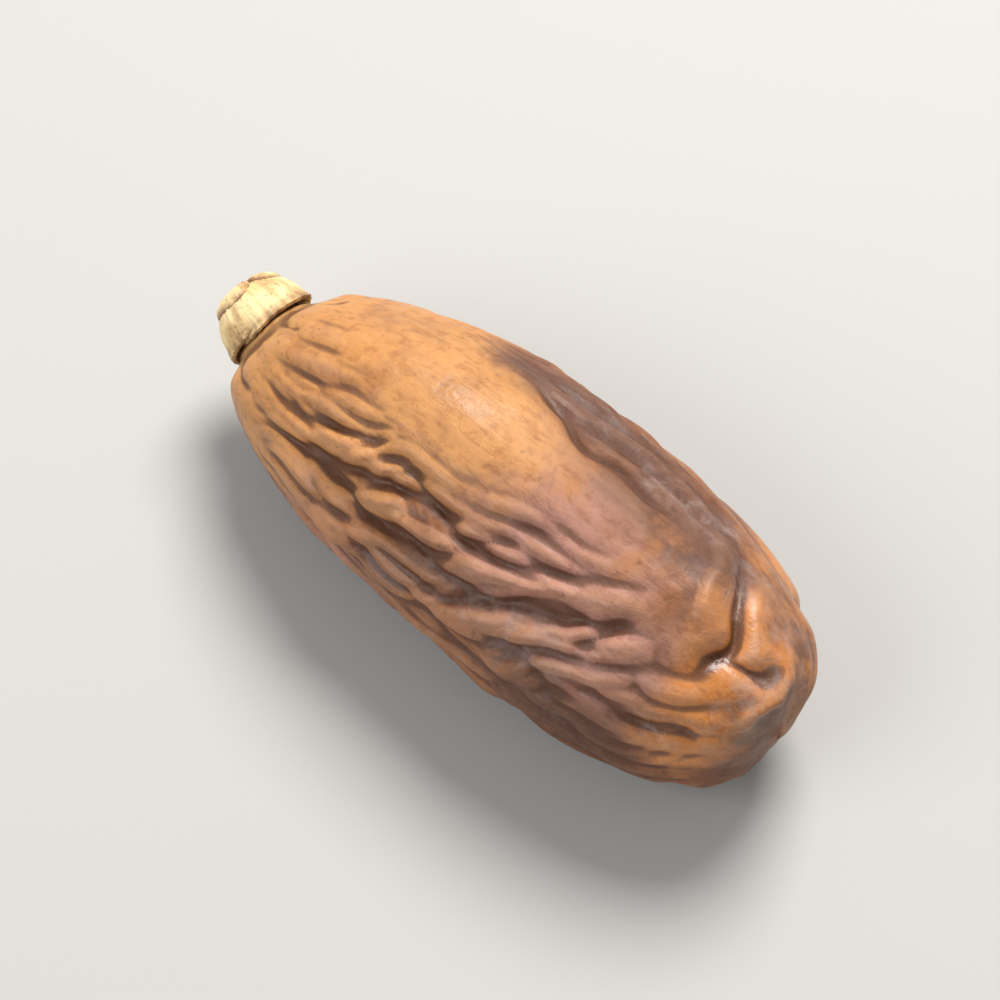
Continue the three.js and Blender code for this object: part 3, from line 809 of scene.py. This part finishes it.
def skin_material():
    made = bpy.data.materials.new("date skin")
    made.use_nodes = True
    tree = made.node_tree
    shader = tree.nodes["Principled BSDF"]
    spots = place_group(tree, speckle, {"Size": 1500.0, "Amount": 0.35})
    patches = spots.outputs["Patches"]
    ragged = ragged_edge(tree, patches)
    place = put(tree, "TexCoord").outputs["Object"]
    feeds = {0: place, 1: DRAWN_LENGTHWISE}
    lengthwise = put(tree, "VectorMath", feeds, operation="MULTIPLY").outputs[0]
    crinkle = noise(tree, 1100, 4, 0.6, 0.6)
    crepe = noise(tree, 1900, 3, 0.6, 0.5, lengthwise)

    colour = creased_colour(tree, flesh_colour(tree, ragged), crinkle, crepe, lengthwise)
    # Painted shade: the skin darkens where it faces down
    under = sum_up(tree, "MULTIPLY", own_value(tree, "under"), 0.75)
    colour = blend(tree, under, colour, UNDERSIDE_SHADE)
    specks = sum_up(tree, "MULTIPLY", spots.outputs["Specks"], 0.35)
    colour = blend(tree, specks, colour, SPECK)
    # The pale waxy bloom, broken up in patches; its patch at the top of the tip is a painted highlight
    dust = ramp(tree, noise(tree, 520, 6, 0.7, 0.5), 0.42, 0.66)
    bloomed = sum_up(tree, "MULTIPLY", ragged_place(tree, "bloomed", ragged, 0.1, 0.9), dust)
    colour = blend(tree, sum_up(tree, "MULTIPLY", bloomed, 0.4), colour, BLOOM_AND_HIGHLIGHT)
    tree.links.new(colour, shader.inputs["Base Color"])
    tree.links.new(skin_roughness(tree, patches, bloomed), shader.inputs["Roughness"])

    height = sum_up(tree, "ADD", crinkle, sum_up(tree, "MULTIPLY", crepe, 0.7))
    feeds = {"Height": height, "Strength": 0.5, "Distance": 0.00021}
    tree.links.new(put(tree, "Bump", feeds).outputs["Normal"], shader.inputs["Normal"])
    coat = ramp(tree, own_value(tree, "amber"), 0, 0.8, 0.03, 0.32)
    tree.links.new(coat, shader.inputs["Coat Weight"])
    shader.inputs["Coat Roughness"].default_value = 0.28
    shader.inputs["Subsurface Weight"].default_value = 0.2
    shader.inputs["Subsurface Radius"].default_value = (1.0, 0.35, 0.12)
    shader.inputs["Subsurface Scale"].default_value = 0.0018
    shader.inputs["Specular IOR Level"].default_value = 0.36
    return made


date = fruit()
date.data.materials.append(skin_material())


# Calyx dimensions, in millimetres. It is shaped round its own axis, with its seat at zero height and
# its scar at the top, and turned onto the fruit afterwards.
BELL = [(0.8, 2.1), (1.55, 1.9), (2.15, 1.25), (2.5, 0.3), (3.0, -0.85)]
CALYX_GAP = 0.3
LOBE_COUNT = 3
# Petals and sepals are lobes of the bell, from one share of its length to another. Each runs over the
# next by the overlap, in degrees, where its covering side rises by the tile. The notch is how much
# shorter it is at its sides, and under is how thick the lobes below it are.
PETALS = {
    "overlap": 13, "begin": 0.1, "to": 1.0, "notch": 0.1,
    "under": 0.0, "thickness": 0.6, "tile": 0.4, "curl": 0.08,
}
SEPALS = {
    "overlap": -5, "begin": 0.0, "to": 0.46, "notch": 0.35,
    "under": 0.5, "thickness": 0.95, "tile": 0.0, "curl": 0.0,
}
RIM_HUG = 0.05  # how near the rims come to the fruit's skin
HUG_FROM = 0.62  # share of a lobe's length below which it is drawn down onto the fruit
SEPAL_SEEDS_FROM = 11
CORE = [(0, 0.1), (2.1, 0.1), (2.6, 0.3), (2.55, 0.7), (2.3, 1.3), (1.75, 1.95), (1.15, 2.2)]
STUB = [(1.0, 2.5), (1.1, 2.75), (0.85, 2.71), (0.6, 2.58), (0.3, 2.48), (0, 2.46)]
CORE_STEPS, CORE_SEED, CORE_RIBS, CORE_UNEVEN = 96, 5, 9, 0.05
RIB_HEIGHT = 0.045
RIBS = 30
RIPPLE_WAVES = 5
RIPPLE_COUNTS = (0.6, 1.6)  # shares of the count of ribs, between which a wave's own is drawn
RIPPLE_LEAN = (-1.5, 1.5)  # how far a wave shifts over the length of a piece, in radians
ANY_START = (0, 6.28)  # radians
RAGGED_RATES = (5, 11, 19, 37)  # radians of each wave over half a lobe's rim
RAGGED_RISE = (0.004, 0.012)  # shares of a lobe's length
RIM_THINS, SIDE_THINS = 0.5, 0.25  # how much thinner a lobe gets there, as a share
WORN_TO_RIM_FROM, WORN_TO_SIDE_FROM = 0.72, 0.8  # shares of the way there
SIDE_WEAR = 0.7  # against the rim's
LOBE_ROWS, LOBE_COLUMNS = 48, 110


def calyx_frame():
    """Turns calyx places into places in the row frame, in millimetres."""
    slope = Vector((0, math.sin(END_FACES), math.cos(END_FACES))) * END_SLANT
    endways = (slope - Vector((1, 0, 0))).normalized()
    seat = Vector(plain_place(-HALF_LENGTH, 0) + ROW_SHIFT) + endways * CALYX_GAP
    turn = Vector((0, 0, 1)).rotation_difference(endways).to_matrix().to_4x4()
    return Matrix.Translation(seat) @ turn


def placed(points, frame_of):
    points = np.asarray(points, float)
    turn = np.array(frame_of.to_3x3())
    return points @ turn.T + np.array(frame_of.translation)


def ripple(turn, down, count, seed):
    """Ribs of uneven height that run down a lobe, between -1 and 1."""
    draw = np.random.default_rng(seed)
    wave = np.zeros_like(turn)
    for _ in range(RIPPLE_WAVES):
        share = draw.uniform(*RIPPLE_COUNTS)
        start = draw.uniform(*ANY_START)
        wave += np.sin(turn * count * share + start + down * draw.uniform(*RIPPLE_LEAN))
    return wave / RIPPLE_WAVES


def lobe_sheets(seed, middle, *, overlap, begin, to, notch, under, thickness, tile, curl):
    """The inner and the outer sheet of a bell lobe, in calyx places, with its across and down."""
    side, down = np.meshgrid(np.linspace(-1, 1, LOBE_COLUMNS + 1), np.linspace(0, 1, LOBE_ROWS + 1))
    turn = np.radians(middle + (180 / LOBE_COUNT + overlap) * side)
    draw = np.random.default_rng(seed)
    ragged = sum(
        draw.uniform(*RAGGED_RISE) * np.sin(side * rate + draw.uniform(*ANY_START))
        for rate in RAGGED_RATES
    )
    share = begin + (to - begin) * down * (1 - notch * np.abs(side) ** 3 + ragged * down)
    base = curve_through(BELL, share)
    place = np.clip(share, 0.001, 0.999)
    ahead = curve_through(BELL, place + 0.001) - curve_through(BELL, place - 0.001)
    ahead /= np.linalg.norm(ahead, axis=-1, keepdims=True)
    tiled = tile * (side + 1) / 2
    rim = np.clip(3 * down - 2, 0, 1)
    inner = under + curl * rim**2 + tiled * rim
    thin = 1 - RIM_THINS * rim**2 - SIDE_THINS * np.abs(side) ** 6
    rib = RIB_HEIGHT * ripple(turn, down, RIBS, seed) * smooth(down, 0, 0.2)
    outer = under + curl * rim**2 + tiled * down + (thickness - under) * thin + rib

    def sheet(out):
        radius = base[..., 0] - ahead[..., 1] * out
        height = base[..., 1] + ahead[..., 0] * out
        return np.stack([radius * np.cos(turn), radius * np.sin(turn), height], axis=-1)

    return sheet(inner), sheet(outer), side, down, tiled


def hugged(inner, outer, down, tiled, skin_tree):
    """Draws the lower part of a lobe down onto the fruit, keeping its overlap."""
    shift = np.zeros_like(inner)
    for place in np.ndindex(inner.shape[:2]):
        pull = smooth(down[place], HUG_FROM, 1.0)
        if pull > 0:
            foot, normal, _, _ = skin_tree.find_nearest(Vector(inner[place] * MM))
            wanted = np.array(foot) / MM + np.array(normal) * (RIM_HUG + tiled[place])
            shift[place] = pull * (wanted - inner[place])
    return inner + shift, outer + shift


def lobe_object(name, sheets, side, down, seed):
    """A closed lobe from its two sheets, with a rounded rim between them."""
    inner, outer = sheets
    rows, columns = side.shape
    index = np.arange(rows * columns).reshape(rows, columns)
    points = np.concatenate([inner.reshape(-1, 3), outer.reshape(-1, 3)])
    below = index + rows * columns
    quads = [np.stack([index[:-1, :-1], index[:-1, 1:], index[1:, 1:], index[1:, :-1]], -1)]
    quads += [np.stack([below[:-1, :-1], below[1:, :-1], below[1:, 1:], below[:-1, 1:]], -1)]
    edge = np.concatenate([index[0, :-1], index[:-1, -1], index[-1, :0:-1], index[:0:-1, 0]])
    after = np.roll(edge, -1)
    faces = [tuple(face) for part in quads for face in part.reshape(-1, 4).tolist()]
    faces += [
        (int(a), int(a) + rows * columns, int(b) + rows * columns, int(b))
        for a, b in zip(edge, after)
    ]
    worn_side = smooth(np.abs(side), WORN_TO_SIDE_FROM, 1.0) * SIDE_WEAR
    worn = np.maximum(smooth(down, WORN_TO_RIM_FROM, 1.0), worn_side)
    own_fibres = side * 0.5 + seed  # starts at another place in the fibres for each lobe
    values = {
        "across": np.tile(own_fibres.ravel(), 2),
        "down": np.tile(down.ravel(), 2),
        "worn edge": np.tile(worn.ravel(), 2),
    }
    made = mesh_object(name, points, faces, values)
    modifier = made.modifiers.new("rounded rim", "BEVEL")
    modifier.width = 0.08 * MM
    modifier.segments = 2
    modifier.angle_limit = math.radians(50)
    return made


def finish_calyx_piece(made, material):
    made.data.materials.append(material)
    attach(made, "root")
    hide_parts("calyx_cap")


def turned_piece(outline, steps, seed, roughness):
    """A woody piece turned from its outline, with uneven fibres round it."""
    fine = curve_through(outline, np.linspace(0, 1, 10 * (len(outline) - 1) + 1))
    turn = 2 * np.pi * np.arange(steps) / steps
    down = np.linspace(1, 0, len(fine))
    grid_turn, grid_down = np.meshgrid(turn, down)
    uneven = 1 + roughness * ripple(grid_turn, grid_down, CORE_RIBS, seed)
    radius = np.maximum(fine[:, 0], 0)[:, None] * uneven
    height = fine[:, 1][:, None] + roughness * 0.6 * (uneven - 1) * fine[:, 0][:, None]
    points = np.stack([radius * np.cos(grid_turn), radius * np.sin(grid_turn), height], -1)
    index = np.arange(points.shape[0] * steps).reshape(-1, steps)
    beside = np.roll(index, -1, axis=1)
    quads = np.stack([index[:-1], beside[:-1], beside[1:], index[1:]], -1).reshape(-1, 4)
    values = {
        "across": (grid_turn / 2).ravel(),
        "down": grid_down.ravel(),
        "worn edge": smooth(1 - grid_down, 0.68, 0.9).ravel(),
    }
    return points.reshape(-1, 3), quads.tolist(), values


# Calyx colours, as linear light.
STRAW = (0.76, 0.53, 0.24, 1)
STRAW_DARK = (0.48, 0.29, 0.12, 1)
DRY_BROWN = (0.17, 0.075, 0.03, 1)
PALE_STRAW = (0.88, 0.7, 0.38, 1)


def calyx_material(name, fibre_count, edge_brown, pale):
    made = bpy.data.materials.new(name)
    made.use_nodes = True
    tree = made.node_tree
    shader = tree.nodes["Principled BSDF"]
    feeds = {"Across": own_value(tree, "across"), "Down": own_value(tree, "down"), "Count": fibre_count}
    strands = place_group(tree, fibres, feeds)
    spots = place_group(tree, speckle, {"Size": 2600.0, "Amount": 0.6})
    colour = blend(tree, strands.outputs["Tone"], STRAW_DARK, STRAW)
    light = ramp(tree, spots.outputs["Patches"], 0, 1, 0.0, pale)
    colour = blend(tree, light, colour, PALE_STRAW)
    browned = sum_up(tree, "MULTIPLY", own_value(tree, "worn edge"), edge_brown)
    uneven = ramp(tree, noise(tree, 900, 4, 0.6), 0.3, 0.6)
    colour = blend(tree, sum_up(tree, "MULTIPLY", browned, uneven), colour, DRY_BROWN)
    stain = sum_up(tree, "MULTIPLY", spots.outputs["Specks"], 0.5)
    colour = blend(tree, stain, colour, DRY_BROWN)
    tree.links.new(colour, shader.inputs["Base Color"])
    tree.links.new(ramp(tree, strands.outputs["Tone"], 0, 1, 0.82, 0.6), shader.inputs["Roughness"])
    rough = sum_up(tree, "MULTIPLY", spots.outputs["Height"], 0.5)
    height = sum_up(tree, "ADD", strands.outputs["Height"], rough)
    feeds = {"Height": height, "Strength": 0.7, "Distance": 0.00016}
    tree.links.new(put(tree, "Bump", feeds).outputs["Normal"], shader.inputs["Normal"])
    shader.inputs["Subsurface Weight"].default_value = 0.08
    shader.inputs["Subsurface Radius"].default_value = (1.0, 0.6, 0.3)
    shader.inputs["Subsurface Scale"].default_value = 0.0006
    return made


def calyx(skin_tree):
    frame_of = calyx_frame()
    petal_straw = calyx_material("dry petal", 9.0, 0.75, 0.7)
    sepal_straw = calyx_material("dry sepal", 7.0, 0.9, 0.5)
    stub_wood = calyx_material("dry stub wood", 6.0, 0.6, 0.8)
    for i in range(LOBE_COUNT):
        middle = 360 * i / LOBE_COUNT
        inner, outer, side, down, tiled = lobe_sheets(i + 1, middle, **PETALS)
        sheets = hugged(placed(inner, frame_of), placed(outer, frame_of), down, tiled, skin_tree)
        petal = lobe_object(f"petal_{i + 1}", sheets, side, down, i + 1)
        finish_calyx_piece(petal, petal_straw)
    for i in range(LOBE_COUNT):
        middle = 360 * (i + 0.5) / LOBE_COUNT
        seed = i + SEPAL_SEEDS_FROM
        inner, outer, side, down, _ = lobe_sheets(seed, middle, **SEPALS)
        sheets = placed(inner, frame_of), placed(outer, frame_of)
        sepal = lobe_object(f"sepal_{i + 1}", sheets, side, down, seed)
        finish_calyx_piece(sepal, sepal_straw)
    points, faces, values = turned_piece(CORE + STUB, CORE_STEPS, CORE_SEED, CORE_UNEVEN)
    core = mesh_object("calyx_core", placed(points, frame_of), faces, values)
    finish_calyx_piece(core, stub_wood)


skin_tree = BVHTree.FromPolygons(
    [vertex.co for vertex in date.data.vertices],
    [face.vertices for face in date.data.polygons],
)
calyx(skin_tree)


# The studio.
FLOOR_HALF = 1.5
floor_mesh = bpy.data.meshes.new("floor")
corners = [(-1, -1), (1, -1), (1, 1), (-1, 1)]
floor_mesh.from_pydata([(x * FLOOR_HALF, y * FLOOR_HALF, 0) for x, y in corners], [], [(0, 1, 2, 3)])
floor = bpy.data.objects.new("floor", floor_mesh)
bpy.context.scene.collection.objects.link(floor)
paper = bpy.data.materials.new("pale floor")
paper.use_nodes = True
paper.node_tree.nodes["Principled BSDF"].inputs["Base Color"].default_value = (0.43, 0.425, 0.415, 1)
paper.node_tree.nodes["Principled BSDF"].inputs["Roughness"].default_value = 0.9
floor.data.materials.append(paper)

world = bpy.data.worlds.new("studio air")
world.use_nodes = True
world.node_tree.nodes["Background"].inputs["Color"].default_value = (1.0, 0.98, 0.96, 1)
world.node_tree.nodes["Background"].inputs["Strength"].default_value = 0.4
bpy.context.scene.world = world


def softbox(name, place, target, *, size, power, colour):
    lamp = bpy.data.lights.new(name, "AREA")
    lamp.shape = "DISK"
    lamp.size = size
    lamp.energy = power
    lamp.color = colour
    made = bpy.data.objects.new(name, lamp)
    made.location = place
    made.rotation_mode = "QUATERNION"
    made.rotation_quaternion = (Vector(target) - Vector(place)).to_track_quat("-Z", "Y")
    bpy.context.scene.collection.objects.link(made)
    return made


def direction(azimuth, elevation):
    a, e = math.radians(azimuth), math.radians(elevation)
    return Vector((math.sin(a) * math.cos(e), -math.cos(a) * math.cos(e), math.sin(e)))


centre = (cad_low + cad_high) / 2
key_place = centre + direction(200, 56) * 0.45
softbox("key light", key_place, centre, size=0.24, power=3.2, colour=(1.0, 0.97, 0.93))
fill_place = centre + direction(-20, 40) * 0.6
softbox("fill light", fill_place, centre, size=0.4, power=1.7, colour=(0.97, 0.98, 1.0))

VIEW_AZIMUTH, VIEW_ELEVATION = 43, 60
LENS_MM = 120
FRAME_SIDE = 0.064
camera_data = bpy.data.cameras.new("camera")
camera_data.lens = LENS_MM
camera_data.sensor_width = 36
camera_data.clip_start = 0.005
camera_data.clip_end = 10
camera = bpy.data.objects.new("camera", camera_data)
back = direction(VIEW_AZIMUTH, VIEW_ELEVATION)
distance = FRAME_SIDE * LENS_MM / camera_data.sensor_width
camera.location = centre + back * distance
camera.rotation_mode = "QUATERNION"
camera.rotation_quaternion = (-back).to_track_quat("-Z", "Y")
bpy.context.scene.collection.objects.link(camera)
bpy.context.scene.camera = camera
bpy.context.scene.view_settings.view_transform = "Standard"
